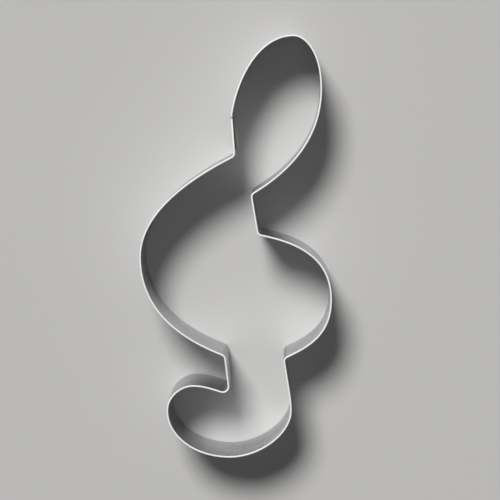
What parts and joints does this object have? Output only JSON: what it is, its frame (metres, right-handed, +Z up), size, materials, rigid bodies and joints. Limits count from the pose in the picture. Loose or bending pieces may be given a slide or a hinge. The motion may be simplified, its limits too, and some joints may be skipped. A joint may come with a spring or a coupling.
{
  "type": "cookie cutter",
  "caption": "Open cookie cutter: a thin bright steel strip on edge, bent to a treble-clef outline and closed by a spot-welded lap, for cutting rolled dough.",
  "frame": {"origin": "under the middle of the outline's box, on the plane of the lower edge", "axes": "+X to the right and +Y to the top of the clef, seen from above; +Z up, along the depth of the strip"},
  "size_m": [0.05, 0.11, 0.022],
  "materials": {
    "strip_steel": "bright cold-rolled strip with a fine grain along its length and plain sheared edges",
    "weld_steel": "dull fused metal, dished by the electrodes, with a faint heat tint"
  },
  "bodies": {
    "root": {"cutter_band": "strip_steel", "spot_weld_low": "weld_steel", "spot_weld_middle": "weld_steel", "spot_weld_high": "weld_steel"}
  },
  "joints": []
}
